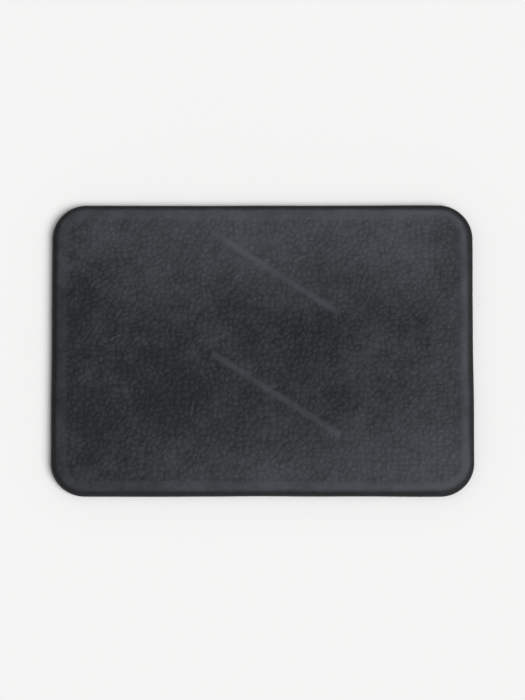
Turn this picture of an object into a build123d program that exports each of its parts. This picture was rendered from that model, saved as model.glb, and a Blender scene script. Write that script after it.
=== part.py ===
"""Stick-on stomp pad for a snowboard deck.

The rider steps on the pad with the unstrapped rear boot, so it is a thin moulded
foam tread with a grippy top, held to the deck by a die-cut double-coated foam tape.

The origin is the centre of the bonding face, which lies on the deck. +X runs along
the pad's long side, across the board, and +Z points out of the deck. Lengths are in
millimetres.
"""

import os

from build123d import *

# Outline of the tread, seen from above
PAD_LENGTH = 130.0
PAD_WIDTH = 91.0
CORNER_RADIUS = 10.5

# Section of the tread
TREAD_THICKNESS = 3.0
TOP_EDGE_RADIUS = 2.0
BOTTOM_EDGE_RADIUS = 0.4

# Textured field, sunk a little below the plain border that frames it
BORDER_WIDTH = 4.0
FIELD_DEPTH = 0.25

# Pair of plain slanted grip bars, which stand in the field level with the border. The
# pair's middle lies a little off the pad's, to the right and towards the far edge.
BAR_LENGTH = 48.0
BAR_WIDTH = 2.8
BAR_ANGLE = -33.0
BAR_SPACING = 38.0
BARS_RIGHT = 4.0
BARS_FAR = 5.0

# Double-coated tape, cut a little smaller than the tread so that no edge shows
TAPE_INSET = 1.5
ADHESIVE_THICKNESS = 0.1
TAPE_CORE_THICKNESS = 0.8

# Heights of the layers above the deck
TAPE_CORE_BASE = ADHESIVE_THICKNESS
UPPER_ADHESIVE_BASE = TAPE_CORE_BASE + TAPE_CORE_THICKNESS
TREAD_BASE = UPPER_ADHESIVE_BASE + ADHESIVE_THICKNESS
TREAD_TOP = TREAD_BASE + TREAD_THICKNESS

# Outlines of the field and of the tape, set in from the tread's outline
FIELD_LENGTH = PAD_LENGTH - 2 * BORDER_WIDTH
FIELD_WIDTH = PAD_WIDTH - 2 * BORDER_WIDTH
FIELD_CORNER = CORNER_RADIUS - BORDER_WIDTH
TAPE_LENGTH = PAD_LENGTH - 2 * TAPE_INSET
TAPE_WIDTH = PAD_WIDTH - 2 * TAPE_INSET
TAPE_CORNER = CORNER_RADIUS - TAPE_INSET

PARTS_FOLDER = "parts"


def save(piece, name):
    """Label a finished piece and write it as its own STEP file."""
    piece.part.label = name
    export_step(piece.part, f"{PARTS_FOLDER}/{name}.step")


os.makedirs(PARTS_FOLDER, exist_ok=True)

# Moulded tread: a rounded slab with a rolled top edge and a sunk field
with BuildPart() as tread_pad:
    with BuildSketch(Plane.XY.offset(TREAD_BASE)):
        RectangleRounded(PAD_LENGTH, PAD_WIDTH, CORNER_RADIUS)
    extrude(amount=TREAD_THICKNESS)
    top_face = tread_pad.faces().sort_by(Axis.Z)[-1]
    fillet(top_face.edges(), TOP_EDGE_RADIUS)
    bottom_face = tread_pad.faces().sort_by(Axis.Z)[0]
    fillet(bottom_face.edges(), BOTTOM_EDGE_RADIUS)
    with BuildSketch(Plane.XY.offset(TREAD_TOP)):
        RectangleRounded(FIELD_LENGTH, FIELD_WIDTH, FIELD_CORNER)
        with Locations((BARS_RIGHT, BARS_FAR)):
            with GridLocations(0, BAR_SPACING, 1, 2):
                SlotOverall(BAR_LENGTH, BAR_WIDTH, rotation=BAR_ANGLE, mode=Mode.SUBTRACT)
    extrude(amount=-FIELD_DEPTH, mode=Mode.SUBTRACT)
save(tread_pad, "tread_pad")

# Upper adhesive coat, which grips the underside of the tread
with BuildPart() as tape_upper_adhesive:
    with BuildSketch(Plane.XY.offset(UPPER_ADHESIVE_BASE)):
        RectangleRounded(TAPE_LENGTH, TAPE_WIDTH, TAPE_CORNER)
    extrude(amount=ADHESIVE_THICKNESS)
save(tape_upper_adhesive, "tape_upper_adhesive")

# Foam carrier of the tape, which takes up the curve of the deck
with BuildPart() as tape_foam_core:
    with BuildSketch(Plane.XY.offset(TAPE_CORE_BASE)):
        RectangleRounded(TAPE_LENGTH, TAPE_WIDTH, TAPE_CORNER)
    extrude(amount=TAPE_CORE_THICKNESS)
save(tape_foam_core, "tape_foam_core")

# Lower adhesive coat, which bonds to the deck
with BuildPart() as tape_lower_adhesive:
    with BuildSketch(Plane.XY):
        RectangleRounded(TAPE_LENGTH, TAPE_WIDTH, TAPE_CORNER)
    extrude(amount=ADHESIVE_THICKNESS)
save(tape_lower_adhesive, "tape_lower_adhesive")
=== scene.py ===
"""Looks of a stick-on stomp pad: a grained foam tread on a double-coated foam tape.

Lengths are in metres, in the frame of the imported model: the origin is the centre of the
bonding face, +X runs along the pad's long side and +Z points out of the deck.
"""

import math

import bpy
import numpy as np
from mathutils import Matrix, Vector


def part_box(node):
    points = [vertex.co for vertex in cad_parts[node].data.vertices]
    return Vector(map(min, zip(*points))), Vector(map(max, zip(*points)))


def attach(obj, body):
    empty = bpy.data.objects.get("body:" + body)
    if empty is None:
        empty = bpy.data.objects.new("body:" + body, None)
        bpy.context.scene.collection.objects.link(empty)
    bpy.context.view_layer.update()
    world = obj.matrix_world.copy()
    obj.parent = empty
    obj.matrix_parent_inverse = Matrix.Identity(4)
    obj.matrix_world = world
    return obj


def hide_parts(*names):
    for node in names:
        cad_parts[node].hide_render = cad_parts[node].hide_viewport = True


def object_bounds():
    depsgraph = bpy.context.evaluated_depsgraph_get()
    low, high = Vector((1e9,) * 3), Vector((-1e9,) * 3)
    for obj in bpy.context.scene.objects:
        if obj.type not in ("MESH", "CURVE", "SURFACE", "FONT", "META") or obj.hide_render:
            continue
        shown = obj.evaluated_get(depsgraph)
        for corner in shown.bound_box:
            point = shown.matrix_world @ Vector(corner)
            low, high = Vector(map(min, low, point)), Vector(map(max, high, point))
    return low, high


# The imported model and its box, which the pieces below are placed by
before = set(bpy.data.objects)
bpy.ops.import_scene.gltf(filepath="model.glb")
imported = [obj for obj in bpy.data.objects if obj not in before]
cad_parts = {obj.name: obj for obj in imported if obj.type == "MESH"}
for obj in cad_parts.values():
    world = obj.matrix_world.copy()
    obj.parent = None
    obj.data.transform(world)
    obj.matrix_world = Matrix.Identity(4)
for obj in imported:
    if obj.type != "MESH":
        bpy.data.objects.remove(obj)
CAD_LOW, CAD_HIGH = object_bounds()

MM = 0.001

# Outline, border and edges of the tread, and how far in from it the tape ends
CORNER_RADIUS = 10.5 * MM
BORDER_WIDTH = 4 * MM
TOP_EDGE_RADIUS = 2 * MM
BOTTOM_EDGE_RADIUS = 0.4 * MM
TAPE_INSET = 1.5 * MM

# Field inside the border, and the step up to the border
FIELD_DEPTH = 0.25 * MM
STEP_WIDTH = 0.9 * MM

# Slanted grip bars, level with the border
BAR_LENGTH = 48 * MM
BAR_WIDTH = 2.8 * MM
BAR_SLOPE_WIDTH = 0.9 * MM
BAR_ANGLE = math.radians(-33)
BAR_SPACING = 38 * MM
BARS_RIGHT = 4 * MM
BARS_FAR = 5 * MM

# Moulded pebble grain of the field. A pebble's centre lies between the jitter's two shares
# of its cell, and it has its full height where the next centre is a valley's share further
PEBBLE_SIZE = 1.9 * MM
PEBBLE_HEIGHT = 0.2 * MM
PEBBLE_JITTER = (0.04, 0.96)
PEBBLE_VALLEY = 0.4
PEBBLE_WANDER = 0.7 * MM
PEBBLE_VARIATION = 0.3

# Unevenness of the soft foam, in height and along the rim
SWELL_SIZE = 24 * MM
SWELL_HEIGHT = 0.06 * MM
RIPPLE_SIZE = 5 * MM
RIPPLE_HEIGHT = 0.03 * MM
WOBBLE_SIZE = 16 * MM
WOBBLE_WIDTH = 0.12 * MM

# Parting line left by the mould, round the wall
SEAM_HEIGHT = 1.7 * MM
SEAM_PROUD = 0.1 * MM
SEAM_HALF_WIDTH = 0.15 * MM

# Cut edge of the tape layers, whose raggedness is a share of the bulge and slants with
# height, and the hollows in the face of the lower coat
UPPER_BULGE = 0.05 * MM
CORE_BULGE = -0.06 * MM
LOWER_BULGE = 0.08 * MM
RAGGED_SIZE = 1.2 * MM
RAGGED_SLANT = 3.0
RAGGEDNESS = 0.5
HOLLOW_SIZE = 2.5 * MM
HOLLOW_DEPTH = 0.012 * MM

# Painted shade darkens the rolled edge and wall, and fades out between two depths inside the
# rim;
# how that line wanders, how much more the crowns of the grain and the grip bars are greyed by
# wear, and the painted highlight along the crest of the rolled edge
EDGE_SHADE_FADE = (0.6 * MM, 2.3 * MM)
EDGE_WANDER = 0.2 * MM
EDGE_WANDER_SIZE = 7 * MM
CROWN_WEAR = 0.3
MEAN_CROWN = 0.6
BAR_WEAR = 0.22
CREST_HIGHLIGHT = 0.35
CREST_FROM_EDGE = 2.6 * MM
CREST_WIDTH = 1.3 * MM
CREST_RAMP = (0.3, 0.95)
RUB_AND_HIGHLIGHT_SIZE = 5 * MM
RUB_AND_HIGHLIGHT_VARIATION = 0.6

# Greying over the whole top, partly dust and boot wear and partly painted glare, which lightens
# the far edge, the right and the near right corner: how much each zone adds or takes away, and
# where its ramp starts and ends, in shares of half the pad
LEAST_WEAR = 0.15
FAR_WEAR_AND_GLARE = 0.76
FAR_RAMP = (0.10, 0.85)
FAR_LOSS_LEFT = 0.28
FAR_LEFT_RAMP = (0.0, -0.8)
FAR_LOSS_AT_ENDS = 0.42
END_RAMP = (0.72, 0.95)
RIGHT_WEAR_AND_GLARE = 0.22
RIGHT_RAMP = (-0.1, 1.0)
SIDE_WEAR_AND_GLARE = 0.13
SIDE_RAMP = (0.6, 0.95)
LEFT_LOSS = 0.05
LEFT_RAMP = (-0.4, -0.9)
MIDDLE_WEAR = 0.17
MIDDLE_RAMP = (0.4, 0.0)
MIDDLE_X = -0.12
MIDDLE_Y = -0.08
NEAR_WEAR = 0.13
NEAR_RAMP = (-0.3, -0.85)
NEAR_MIDDLE_WEAR = 0.24
NEAR_MIDDLE_RAMP = (0.75, 0.0)
NEAR_MIDDLE_X = -0.15
CORNER_WEAR_AND_GLARE = 0.44
CORNER_RAMP = (0.0, 0.8)

# Colours, in linear light
# Near black of the rolled edge and wall, darker than clean foam: painted shade
PAINTED_EDGE_SHADE = (0.0062, 0.0067, 0.0080, 1)
DUSTY_EDGE = (0.0170, 0.0182, 0.0212, 1)
CLEAN_FOAM = (0.0095, 0.0103, 0.0126, 1)
# Lightest grey of the top, reached through dust and wear and through painted glare
WORN_AND_GLARE_FOAM = (0.0530, 0.0585, 0.0680, 1)
SCUFF_GREY = (0.13, 0.135, 0.145, 1)
TAPE_GREY = (0.24, 0.24, 0.235, 1)
TAPE_DIRT = (0.12, 0.115, 0.105, 1)
TAPE_CELL_RIM = (0.33, 0.33, 0.325, 1)
ADHESIVE_DARK = (0.40, 0.37, 0.28, 1)
ADHESIVE_LIGHT = (0.50, 0.47, 0.37, 1)
BUBBLE_PALE = (0.62, 0.60, 0.52, 1)
FLOOR_DARK = (0.79, 0.79, 0.785, 1)
FLOOR_LIGHT = (0.80, 0.80, 0.795, 1)
WHITE = (1, 1, 1, 1)

# The range that most values of a noise texture lie in
NOISE_RANGE = (0.3, 0.7)

# Tread material: sizes of its features, how much each changes the greying, and the greying at
# which the top reaches its lightest grey
CLOUD_SIZE = 20 * MM
CLOUD_GREYING = 0.22
PATCH_SIZE = 4 * MM
PATCH_GREYING = 0.20
PATCH_DEPTH = 0.04 * MM
SPECK_SIZE = 0.6 * MM
SPECK_GREYING = 0.10
LINT_RANGE = (0.62, 0.75)
LINT_GREYING = 0.4
PORE_SIZE = 0.35 * MM
PORE_DEPTH = 0.05 * MM
FULLEST_GREYING = 1.3
TREAD_ROUGHNESS = (0.58, 0.74)

# Dust on the tread's walls, in patches and specks
DUST_SHARE = 0.6
DUST_PATCH_RANGE = (0.45, 0.75)
DUST_SPECK_RANGE = (0.50, 0.72)

# Faint scuffs on the tread: the angle, length, width and strength of each set
SCUFF_RANGE = (0.70, 0.80)
SCUFFS = (
    (math.radians(24), 16 * MM, 0.28 * MM, 0.40),
    (math.radians(-52), 22 * MM, 0.35 * MM, 0.28),
    (math.radians(78), 9 * MM, 0.22 * MM, 0.35),
)

# Tape foam material
CELL_SIZE = 0.22 * MM
CELL_RANGE = (0.0, 0.6)
CELL_PALENESS = 0.5
CELL_DEPTH = 0.05 * MM
DIRT_SIZE = 6 * MM
DIRT_RANGE = (0.4, 0.7)
TAPE_ROUGHNESS = (0.7, 0.9)

# Adhesive material
ADHESIVE_CLOUD_SIZE = 14 * MM
PEEL_SIZE = 2.2 * MM
PEEL_DEPTH = 0.05 * MM
BUBBLE_SPACING = 2.6 * MM
BUBBLE_RANGE = (0.06, 0.22)
BUBBLE_PALENESS = 0.35
ADHESIVE_ROUGHNESS = (0.16, 0.3)

# Floor, a disc just under the pad, and how far the camera sees
FLOOR_RADIUS = 14.0
FLOOR_SIDES = 96
FLOOR_GAP = 0.02 * MM
FLOOR_CLOUD_SIZE = 0.3
CAMERA_REACH = 30.0

# Fineness of the meshes
TREAD_PITCH = 0.39 * MM
TAPE_PITCH = 1.0 * MM
BORDER_STEPS = 5
TOP_EDGE_STEPS = 8
BOTTOM_EDGE_STEPS = 4
TAPE_STEPS = 5

# Cells of a random field each way before it repeats
LATTICE = 256


def smoothstep(low, high, value):
    """Rise smoothly from 0 at low to 1 at high, which may be the smaller of the two."""
    t = np.clip((value - low) / (high - low), 0, 1)
    return t * t * (3 - 2 * t)


def value_noise(x, y, size, seed):
    """Smooth random field between -1 and 1, with features about one size across."""
    lattice = np.random.default_rng(seed).uniform(-1, 1, (LATTICE, LATTICE))
    column = np.floor(x / size).astype(int)
    row = np.floor(y / size).astype(int)
    along = smoothstep(0, 1, x / size - column)
    up = smoothstep(0, 1, y / size - row)

    def corner(right, above):
        return lattice[(column + right) % LATTICE, (row + above) % LATTICE]

    lower = corner(0, 0) * (1 - along) + corner(1, 0) * along
    upper = corner(0, 1) * (1 - along) + corner(1, 1) * along
    return lower * (1 - up) + upper * up


def pebbles(x, y, size, seed):
    """Height of a pebble grain, from 0 in the valleys to 1 on the crowns."""
    shift = np.random.default_rng(seed).uniform(*PEBBLE_JITTER, (LATTICE, LATTICE, 2))
    column = np.floor(x / size).astype(int)
    row = np.floor(y / size).astype(int)
    nearest = np.full(x.shape, np.inf)
    second = np.full(x.shape, np.inf)
    for right in (-1, 0, 1):
        for above in (-1, 0, 1):
            centre = shift[(column + right) % LATTICE, (row + above) % LATTICE]
            away_x = x / size - (column + right + centre[..., 0])
            away_y = y / size - (row + above + centre[..., 1])
            away = np.hypot(away_x, away_y)
            second = np.minimum(second, np.maximum(nearest, away))
            nearest = np.minimum(nearest, away)
    return smoothstep(0, PEBBLE_VALLEY, second - nearest)


class RoundedRectangle:
    """A rounded rectangle about the origin, which can be filled with a grid of quads."""

    def __init__(self, half_x, half_y, radius):
        self.half = np.array([half_x, half_y])
        self.radius = radius

    def grown(self, offset):
        """The outline moved outwards by an offset."""
        return RoundedRectangle(*(self.half + offset), self.radius + offset)

    def grid(self, columns, rows):
        """Points of a grid whose corner squares are bent into quarter discs."""
        across = np.linspace(-self.half[0], self.half[0], columns + 1)
        up = np.linspace(-self.half[1], self.half[1], rows + 1)
        points = np.stack(np.meshgrid(across, up, indexing="ij"), axis=-1)
        centre = self.half - self.radius
        square = np.maximum(np.abs(points) - centre, 0) / self.radius
        disc = square * np.sqrt(1 - square[..., ::-1] ** 2 / 2)
        bent = np.sign(points) * (centre + disc * self.radius)
        inside = (np.abs(points) <= centre).any(axis=-1, keepdims=True)
        return np.where(inside, points, bent)

    def normals(self, points):
        """Outward directions at points of the outline."""
        reach = np.maximum(np.abs(points) - (self.half - self.radius), 0)
        reach *= np.sign(points)
        return reach / np.linalg.norm(reach, axis=-1, keepdims=True)

    def depth(self, x, y):
        """Distance inwards from the outline, negative outside it."""
        reach_x = np.abs(x) - (self.half[0] - self.radius)
        reach_y = np.abs(y) - (self.half[1] - self.radius)
        outside = np.hypot(np.maximum(reach_x, 0), np.maximum(reach_y, 0))
        return self.radius - outside - np.minimum(np.maximum(reach_x, reach_y), 0)


def grid_faces(columns, rows, first, up):
    """Quads of a grid of points numbered from first, facing up or down."""
    index = first + np.arange((columns + 1) * (rows + 1)).reshape(columns + 1, rows + 1)
    corners = [index[:-1, :-1], index[1:, :-1], index[1:, 1:], index[:-1, 1:]]
    if not up:
        corners.reverse()
    return np.stack([c.ravel() for c in corners], axis=-1)


def rim_of_grid(columns, rows):
    """Numbers of a grid's outer points, anticlockwise from above."""
    index = np.arange((columns + 1) * (rows + 1)).reshape(columns + 1, rows + 1)
    sides = (index[:-1, 0], index[-1, :-1], index[:0:-1, -1], index[0, :0:-1])
    return np.concatenate(sides)


def make_slab(name, outline, pitch, top, skirt, bottom=None):
    """A closed slab: a grid on top, rings round its rim, and a face or a grid below.

    top(x, y) and bottom(x, y) give the heights of the two surfaces. skirt(edge) lists the
    rings from the top surface down, each as its offset outwards from the outline and its
    height, for the points of the edge.
    """
    columns, rows = (int(round(2 * side / pitch)) for side in outline.half)
    upper = outline.grid(columns, rows).reshape(-1, 2)
    rim = rim_of_grid(columns, rows)
    edge = upper[rim]
    outward = outline.normals(edge)
    blocks = [np.column_stack([upper, top(*upper.T)])]
    faces = [grid_faces(columns, rows, 0, up=True)]
    count = len(upper)
    ring = rim
    for offset, height in skirt(edge):
        plan = edge + outward * np.reshape(offset, (-1, 1))
        blocks.append(np.column_stack([plan, np.broadcast_to(height, len(plan))]))
        below = count + np.arange(len(plan))
        faces.append(np.stack([ring, below, np.roll(below, -1), np.roll(ring, -1)], -1))
        ring = below
        count += len(plan)
    polygons = np.concatenate(faces).tolist()
    if bottom is None:
        polygons.append(ring[::-1].tolist())
    else:
        number = np.empty(len(upper), dtype=int)
        number[rim] = ring
        inner = np.setdiff1d(np.arange(len(upper)), rim)
        number[inner] = count + np.arange(len(inner))
        blocks.append(np.column_stack([upper[inner], bottom(*upper[inner].T)]))
        polygons += number[grid_faces(columns, rows, 0, up=False)].tolist()
    mesh = bpy.data.meshes.new(name)
    mesh.from_pydata(np.concatenate(blocks).tolist(), [], polygons)
    mesh.validate()
    mesh.shade_smooth()
    piece = bpy.data.objects.new(name, mesh)
    bpy.context.collection.objects.link(piece)
    return piece


def points_of(piece):
    """Coordinates of a piece's vertices, one row each."""
    flat = np.empty(3 * len(piece.data.vertices))
    piece.data.vertices.foreach_get("co", flat)
    return flat.reshape(-1, 3)


def store(piece, name, values):
    """Keep one number per vertex, for the piece's material to read."""
    layer = piece.data.attributes.new(name, "FLOAT", "POINT")
    layer.data.foreach_set("value", np.asarray(values, dtype=np.float32))


# --- Node trees ------------------------------------------------------------------------

# Sockets of a Mix node that blends colours, by number because their names are shared
MIX_FACTOR = 0
MIX_FIRST = 6
MIX_SECOND = 7
MIX_RESULT = 2


def add_node(tree, kind, inputs, **settings):
    """Add a node with its settings, and set or link each of its inputs."""
    made = tree.nodes.new(kind)
    for key, value in settings.items():
        setattr(made, key, value)
    for key, value in inputs.items():
        if isinstance(value, bpy.types.NodeSocket):
            tree.links.new(value, made.inputs[key])
        else:
            made.inputs[key].default_value = value
    return made


def object_coordinates(tree):
    """Place on the piece, in metres."""
    return add_node(tree, "ShaderNodeTexCoord", {}).outputs["Object"]


def noise(tree, place, size, detail=3.0, distortion=0.0):
    """Cloudy noise with features about one size across."""
    inputs = {
        "Vector": place,
        "Scale": 1 / size,
        "Detail": detail,
        "Distortion": distortion,
    }
    return add_node(tree, "ShaderNodeTexNoise", inputs).outputs["Fac"]


def cells(tree, place, size):
    """Distance from the nearest of many scattered points, about one size apart."""
    inputs = {"Vector": place, "Scale": 1 / size}
    return add_node(tree, "ShaderNodeTexVoronoi", inputs).outputs["Distance"]


def remap(tree, value, low, high, to_low=0.0, to_high=1.0):
    """Carry the range from low to high over to another range, and clamp it there."""
    inputs = {
        "Value": value,
        "From Min": low,
        "From Max": high,
        "To Min": to_low,
        "To Max": to_high,
    }
    return add_node(tree, "ShaderNodeMapRange", inputs).outputs["Result"]


def streaks(tree, place, angle, length, width):
    """Noise drawn out into streaks of a given length and width, at an angle to X."""
    inputs = {
        "Vector": place,
        "Rotation": (0, 0, angle),
        "Scale": (length, width, length),
    }
    mapping = add_node(tree, "ShaderNodeMapping", inputs, vector_type="TEXTURE")
    return noise(tree, mapping.outputs["Vector"], 1.0, detail=2.0)


def add(tree, first, second):
    """Sum of two values."""
    inputs = {0: first, 1: second}
    return add_node(tree, "ShaderNodeMath", inputs, operation="ADD").outputs["Value"]


def mix_colours(tree, factor, first, second):
    """Blend from the first colour to the second."""
    inputs = {MIX_FACTOR: factor, MIX_FIRST: first, MIX_SECOND: second}
    return add_node(tree, "ShaderNodeMix", inputs, data_type="RGBA").outputs[MIX_RESULT]


def attribute(tree, name):
    """The number that store() kept under this name."""
    return add_node(tree, "ShaderNodeAttribute", {}, attribute_name=name).outputs["Fac"]


def bump(tree, height, depth, below=None):
    """Fine relief of a given depth, laid over another relief if one is given."""
    inputs = {"Height": height, "Distance": depth, "Strength": 1.0}
    if below is not None:
        inputs["Normal"] = below
    return add_node(tree, "ShaderNodeBump", inputs).outputs["Normal"]


def new_material(name, **constants):
    """A material whose shader has the given constant inputs."""
    material = bpy.data.materials.new(name)
    material.use_nodes = True
    shader = material.node_tree.nodes["Principled BSDF"]
    for key, value in constants.items():
        shader.inputs[key.replace("_", " ")].default_value = value
    return material, material.node_tree, shader


def connect(tree, shader, **sockets):
    """Link sockets to the shader's inputs of the same names."""
    for key, socket in sockets.items():
        tree.links.new(socket, shader.inputs[key.replace("_", " ")])


# --- Materials -------------------------------------------------------------------------


def tread_material():
    """Charcoal moulded foam, greyed on top by boots, dust and painted glare, with painted shade
    making the rolled edge and walls near black under real dust.
    """
    material, tree, shader = new_material("tread_foam", Specular_IOR_Level=0.2)
    place = object_coordinates(tree)
    clouds = noise(tree, place, CLOUD_SIZE, detail=5.0, distortion=0.6)
    patches = noise(tree, place, PATCH_SIZE, detail=4.0)
    specks = noise(tree, place, SPECK_SIZE, detail=2.0)
    # Greying kept on the tread: dust and wear, partly painted glare, and a painted highlight on
    # the rolled edge's crest
    grey = attribute(tree, "wear_and_glare")
    for change in (
        remap(tree, clouds, *NOISE_RANGE, -CLOUD_GREYING, CLOUD_GREYING),
        remap(tree, patches, *NOISE_RANGE, -PATCH_GREYING, PATCH_GREYING),
        remap(tree, specks, *NOISE_RANGE, -SPECK_GREYING, SPECK_GREYING),
        remap(tree, specks, *LINT_RANGE, 0.0, LINT_GREYING),
    ):
        grey = add(tree, grey, change)
    top = mix_colours(tree, remap(tree, grey, 0.0, FULLEST_GREYING), CLEAN_FOAM, WORN_AND_GLARE_FOAM)
    for angle, length, width, strength in SCUFFS:
        drawn = streaks(tree, place, angle, length, width)
        scuff = remap(tree, drawn, *SCUFF_RANGE, 0.0, strength)
        top = mix_colours(tree, scuff, top, SCUFF_GREY)
    dusty_patches = remap(tree, patches, *DUST_PATCH_RANGE, 0.0, DUST_SHARE)
    dusty_specks = remap(tree, specks, *DUST_SPECK_RANGE, 0.0, DUST_SHARE)
    dust = add(tree, dusty_patches, dusty_specks)
    # Rolled edge and wall: near-black painted shade, with real dust over it
    edge = mix_colours(tree, dust, PAINTED_EDGE_SHADE, DUSTY_EDGE)
    colour = mix_colours(tree, attribute(tree, "top_side"), edge, top)
    roughness = remap(tree, patches, *NOISE_RANGE, *TREAD_ROUGHNESS)
    relief = bump(tree, noise(tree, place, PORE_SIZE, detail=3.0), PORE_DEPTH)
    relief = bump(tree, patches, PATCH_DEPTH, relief)
    connect(tree, shader, Base_Color=colour, Roughness=roughness, Normal=relief)
    return material


def tape_foam_material():
    """Grey closed-cell foam with fine bubbles and a little dirt."""
    material, tree, shader = new_material("tape_foam", Specular_IOR_Level=0.3)
    place = object_coordinates(tree)
    bubbles = cells(tree, place, CELL_SIZE)
    dirt = noise(tree, place, DIRT_SIZE, detail=5.0)
    colour = mix_colours(tree, remap(tree, dirt, *DIRT_RANGE), TAPE_GREY, TAPE_DIRT)
    paleness = remap(tree, bubbles, *CELL_RANGE, 0.0, CELL_PALENESS)
    colour = mix_colours(tree, paleness, colour, TAPE_CELL_RIM)
    roughness = remap(tree, dirt, *NOISE_RANGE, *TAPE_ROUGHNESS)
    relief = bump(tree, bubbles, CELL_DEPTH)
    connect(tree, shader, Base_Color=colour, Roughness=roughness, Normal=relief)
    return material


def adhesive_material():
    """Glossy, slightly yellow acrylic adhesive, with faint orange peel and tiny bubbles."""
    material, tree, shader = new_material("adhesive", Specular_IOR_Level=0.5)
    place = object_coordinates(tree)
    clouds = noise(tree, place, ADHESIVE_CLOUD_SIZE, detail=4.0)
    tone = remap(tree, clouds, *NOISE_RANGE)
    colour = mix_colours(tree, tone, ADHESIVE_DARK, ADHESIVE_LIGHT)
    bubbles = cells(tree, place, BUBBLE_SPACING)
    paleness = remap(tree, bubbles, *BUBBLE_RANGE, BUBBLE_PALENESS, 0.0)
    colour = mix_colours(tree, paleness, colour, BUBBLE_PALE)
    roughness = remap(tree, clouds, *NOISE_RANGE, *ADHESIVE_ROUGHNESS)
    relief = bump(tree, noise(tree, place, PEEL_SIZE, detail=2.0), PEEL_DEPTH)
    connect(tree, shader, Base_Color=colour, Roughness=roughness, Normal=relief)
    return material


# --- Pieces ----------------------------------------------------------------------------


def bar_cover(x, y):
    """How far a place lies on a grip bar: 0 off it, 1 on its crown."""
    straight = (BAR_LENGTH - BAR_WIDTH) / 2
    cover = np.zeros_like(x)
    for side in (-1, 1):
        right = x - BARS_RIGHT
        far = y - BARS_FAR - side * BAR_SPACING / 2
        along = right * math.cos(BAR_ANGLE) + far * math.sin(BAR_ANGLE)
        across = far * math.cos(BAR_ANGLE) - right * math.sin(BAR_ANGLE)
        away = np.hypot(across, np.maximum(np.abs(along) - straight, 0))
        inside = BAR_WIDTH / 2 - away
        cover = np.maximum(cover, smoothstep(0, BAR_SLOPE_WIDTH, inside))
    return cover


def unevenness(x, y):
    """Slow swell and small ripples of a soft moulding."""
    swell = value_noise(x, y, SWELL_SIZE, seed=11) * SWELL_HEIGHT
    return swell + value_noise(x, y, RIPPLE_SIZE, seed=12) * RIPPLE_HEIGHT


def wear_and_glare_of(x, y):
    """Greying of the top, partly dust and boot wear and partly painted glare, for a place given
    as shares of half the pad.

    The far edge and the near right corner are the lightest, partly by painted glare, and the
    left the darkest.
    """
    far = smoothstep(*FAR_RAMP, y)
    far *= 1 - FAR_LOSS_LEFT * smoothstep(*FAR_LEFT_RAMP, x)
    far *= 1 - FAR_LOSS_AT_ENDS * smoothstep(*END_RAMP, np.abs(x))
    near = smoothstep(*NEAR_RAMP, y)
    right = RIGHT_WEAR_AND_GLARE * smoothstep(*RIGHT_RAMP, x) * (1 - far)
    side = SIDE_WEAR_AND_GLARE * smoothstep(*SIDE_RAMP, x) * (1 - far) * (1 - near)
    left = LEFT_LOSS * smoothstep(*LEFT_RAMP, x)
    middle = MIDDLE_WEAR * smoothstep(*MIDDLE_RAMP, np.hypot(x - MIDDLE_X, y - MIDDLE_Y))
    near_middle = NEAR_MIDDLE_WEAR * smoothstep(*NEAR_MIDDLE_RAMP, np.abs(x - NEAR_MIDDLE_X))
    corner = CORNER_WEAR_AND_GLARE * smoothstep(*CORNER_RAMP, (x - y) / 2)
    wear_and_glare = LEAST_WEAR + FAR_WEAR_AND_GLARE * far + right + side - left + middle
    return wear_and_glare + near * (NEAR_WEAR + near_middle + corner)


def painted_crest_highlight(x, depth):
    """Painted highlight along the crest of the rolled edge, strongest on the right, where the
    key light comes from.

    x is a share of half the pad, and depth the distance in from the pad's outline.
    """
    crest = smoothstep(CREST_WIDTH, 0, np.abs(depth - CREST_FROM_EDGE))
    return CREST_HIGHLIGHT * crest * smoothstep(*CREST_RAMP, x)


def border_height(x, y):
    """Height of the plain border, which the whole of the top follows."""
    highest_swell = SWELL_HEIGHT + RIPPLE_HEIGHT
    return CAD_HIGH.z - highest_swell + unevenness(x, y)


def field_height(x, y, field):
    """Height inside the border: a grained floor with its step and grip bars."""
    wander_x = value_noise(x, y, 2 * PEBBLE_SIZE, seed=21) * PEBBLE_WANDER
    wander_y = value_noise(x, y, 2 * PEBBLE_SIZE, seed=22) * PEBBLE_WANDER
    grain = pebbles(x + wander_x, y + wander_y, PEBBLE_SIZE, seed=23)
    grain *= 1 + PEBBLE_VARIATION * value_noise(x, y, PEBBLE_SIZE, seed=24)
    step = 1 - smoothstep(0, STEP_WIDTH, field.depth(x, y))
    raised = np.maximum(step, bar_cover(x, y))
    floor = border_height(x, y) - FIELD_DEPTH
    return floor + raised * FIELD_DEPTH + (1 - raised) * grain * PEBBLE_HEIGHT


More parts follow.
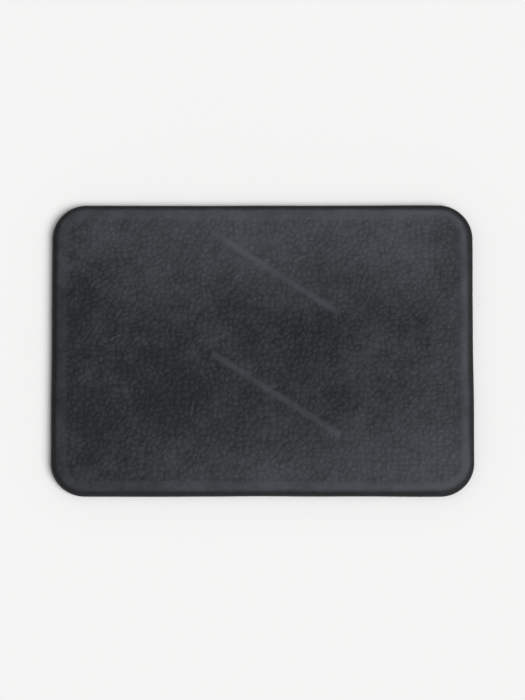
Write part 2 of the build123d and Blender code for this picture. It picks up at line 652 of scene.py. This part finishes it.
def tread_skirt(edge, outward, base):
    """Rings of the tread from the field's edge over the border and down to the tape.

    The last ring lies on the underside, behind the tape, and the bottom face fills it.
    """
    wobble = value_noise(*edge.T, WOBBLE_SIZE, seed=13) * WOBBLE_WIDTH
    share = 1 + wobble / BORDER_WIDTH
    flat_width = BORDER_WIDTH - TOP_EDGE_RADIUS
    rings = []

    def follow_top(offset, drop):
        plan = edge + outward * (share * offset)[:, None]
        rings.append((share * offset, border_height(*plan.T) - drop))

    for offset in np.linspace(0, flat_width, BORDER_STEPS + 1)[1:]:
        follow_top(offset, 0.0)
    for turn in np.linspace(0, math.pi / 2, TOP_EDGE_STEPS + 1)[1:]:
        offset = flat_width + TOP_EDGE_RADIUS * math.sin(turn)
        follow_top(offset, TOP_EDGE_RADIUS * (1 - math.cos(turn)))
    for proud, above in ((0, 1), (SEAM_PROUD, 0), (0, -1)):
        height = SEAM_HEIGHT + above * SEAM_HALF_WIDTH
        rings.append((share * (BORDER_WIDTH + proud), height))
    for turn in np.linspace(0, math.pi / 2, BOTTOM_EDGE_STEPS + 1):
        offset = BORDER_WIDTH - BOTTOM_EDGE_RADIUS * (1 - math.cos(turn))
        height = base + BOTTOM_EDGE_RADIUS * (1 - math.sin(turn))
        rings.append((share * offset, height))
    inside_tape = BORDER_WIDTH - 2 * TAPE_INSET
    rings.append((inside_tape, base))
    return rings


def make_tread():
    """The moulded tread: grained field, plain border, rolled edge and seamed wall."""
    low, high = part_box("tread_pad")
    outline = RoundedRectangle(high.x, high.y, CORNER_RADIUS)
    field = outline.grown(-BORDER_WIDTH)
    tread = make_slab(
        "tread",
        field,
        TREAD_PITCH,
        lambda x, y: field_height(x, y, field),
        lambda edge: tread_skirt(edge, field.normals(edge), low.z),
    )
    x, y, z = points_of(tread).T
    rolled = outline.depth(x, y)
    uneven = rolled + EDGE_WANDER * value_noise(x, y, EDGE_WANDER_SIZE, seed=26)
    # top_side is 0 on the rolled edge and wall, which get the painted shade, and 1 on the top
    store(tread, "top_side", smoothstep(*EDGE_SHADE_FADE, uneven) * (z > SEAM_HEIGHT))
    crown = np.clip((z - border_height(x, y)) / FIELD_DEPTH + 1, 0, 1)
    # Greying of the top: dust and wear, partly painted glare, with the crowns of the grain worn
    # paler
    wear_and_glare = wear_and_glare_of(x / high.x, y / high.y) + CROWN_WEAR * (crown - MEAN_CROWN)
    rub_and_highlight = 1 + RUB_AND_HIGHLIGHT_VARIATION * value_noise(x, y, RUB_AND_HIGHLIGHT_SIZE, seed=25)
    # Real wear on the grip bars, and the painted highlight along the crest of the rolled edge
    wear_and_glare += rub_and_highlight * (BAR_WEAR * bar_cover(x, y) + painted_crest_highlight(x / high.x, rolled))
    store(tread, "wear_and_glare", wear_and_glare)
    tread.data.materials.append(tread_material())
    return tread


def tape_skirt(edge, high, low, bulge):
    """Rings of a tape layer's cut edge, which bulges out or in between its faces."""
    rings = []
    for share in np.linspace(0, 1, TAPE_STEPS + 1)[1:-1]:
        height = high + (low - high) * share
        slanted = edge[:, 0] + RAGGED_SLANT * height
        ragged = value_noise(slanted, edge[:, 1], RAGGED_SIZE, seed=31)
        reach = bulge * math.sin(math.pi * share)
        rings.append((reach * (1 + RAGGEDNESS * ragged), height))
    rings.append((0.0, low))
    return rings


def make_tape_layer(name, node, material, bulge, hollows=0.0):
    """One layer of the tape. Its lower face can have shallow hollows."""
    low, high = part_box(node)
    outline = RoundedRectangle(high.x, high.y, CORNER_RADIUS - TAPE_INSET)

    def lower(x, y):
        hollow = 1 + value_noise(x, y, HOLLOW_SIZE, seed=32)
        return low.z + hollows * hollow * smoothstep(0, HOLLOW_SIZE, outline.depth(x, y))

    piece = make_slab(
        name,
        outline,
        TAPE_PITCH,
        lambda x, y: np.full_like(x, high.z),
        lambda edge: tape_skirt(edge, high.z, low.z, bulge),
        lower,
    )
    piece.data.materials.append(material)
    return piece


def dress(piece, node):
    """Let a piece stand for its CAD node."""
    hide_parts(node)
    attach(piece, "root")


# --- Stage -----------------------------------------------------------------------------


def make_floor():
    """A large pale disc just under the pad."""
    mesh = bpy.data.meshes.new("floor")
    turns = np.linspace(0, 2 * math.pi, FLOOR_SIDES, endpoint=False)
    ring = [(FLOOR_RADIUS * math.cos(a), FLOOR_RADIUS * math.sin(a), 0.0) for a in turns]
    mesh.from_pydata(ring, [], [list(range(FLOOR_SIDES))])
    floor = bpy.data.objects.new("floor", mesh)
    floor.location.z = CAD_LOW.z - FLOOR_GAP
    bpy.context.collection.objects.link(floor)
    material, tree, shader = new_material("floor", Roughness=0.85, Specular_IOR_Level=0.2)
    clouds = noise(tree, object_coordinates(tree), FLOOR_CLOUD_SIZE)
    colour = mix_colours(tree, remap(tree, clouds, *NOISE_RANGE), FLOOR_DARK, FLOOR_LIGHT)
    connect(tree, shader, Base_Color=colour)
    mesh.materials.append(material)


def add_key(direction, strength, spread):
    """A soft light from one direction, the same all over the floor. Its spread is in degrees."""
    light = bpy.data.lights.new("key", "SUN")
    light.energy = strength
    light.angle = math.radians(spread)
    holder = bpy.data.objects.new("key", light)
    holder.rotation_euler = (-Vector(direction)).to_track_quat("-Z", "Y").to_euler()
    bpy.context.collection.objects.link(holder)


def add_world(horizon, overhead, band):
    """White surroundings, brightest at the horizon and dimming over a band above it.

    The band is in degrees, and everything above it is as dim as overhead.
    """
    world = bpy.data.worlds.new("surround")
    world.use_nodes = True
    tree = world.node_tree
    direction = add_node(tree, "ShaderNodeTexCoord", {}).outputs["Generated"]
    height = add_node(tree, "ShaderNodeSeparateXYZ", {"Vector": direction}).outputs["Z"]
    brightness = remap(tree, height, 0.0, math.sin(math.radians(band)), horizon, overhead)
    background = tree.nodes["Background"]
    background.inputs["Color"].default_value = WHITE
    tree.links.new(brightness, background.inputs["Strength"])
    bpy.context.scene.world = world


def add_camera(distance, elevation, lens):
    """Camera above the pad, leaning back towards its near long side.

    The elevation is in degrees, and the lens in millimetres.
    """
    camera = bpy.data.cameras.new("camera")
    camera.lens = lens
    camera.clip_end = CAMERA_REACH
    holder = bpy.data.objects.new("camera", camera)
    centre = (CAD_LOW + CAD_HIGH) / 2
    angle = math.radians(elevation)
    back = Vector((0, -math.cos(angle), math.sin(angle)))
    holder.location = centre + back * distance
    holder.rotation_euler = (-back).to_track_quat("-Z", "Y").to_euler()
    bpy.context.collection.objects.link(holder)
    bpy.context.scene.camera = holder


# --- The pad and its stage -------------------------------------------------------------

dress(make_tread(), "tread_pad")
adhesive = adhesive_material()
upper = make_tape_layer("upper_adhesive", "tape_upper_adhesive", adhesive, UPPER_BULGE)
core = make_tape_layer("foam_core", "tape_foam_core", tape_foam_material(), CORE_BULGE)
lower = make_tape_layer(
    "lower_adhesive", "tape_lower_adhesive", adhesive, LOWER_BULGE, HOLLOW_DEPTH
)
dress(upper, "tape_upper_adhesive")
dress(core, "tape_foam_core")
dress(lower, "tape_lower_adhesive")

bpy.context.scene.view_settings.view_transform = "Standard"
make_floor()
add_world(horizon=0.9, overhead=0.42, band=20)
add_key(direction=(0.55, -0.35, 0.95), strength=2.7, spread=40)
add_camera(distance=1.2, elevation=80.0, lens=200)
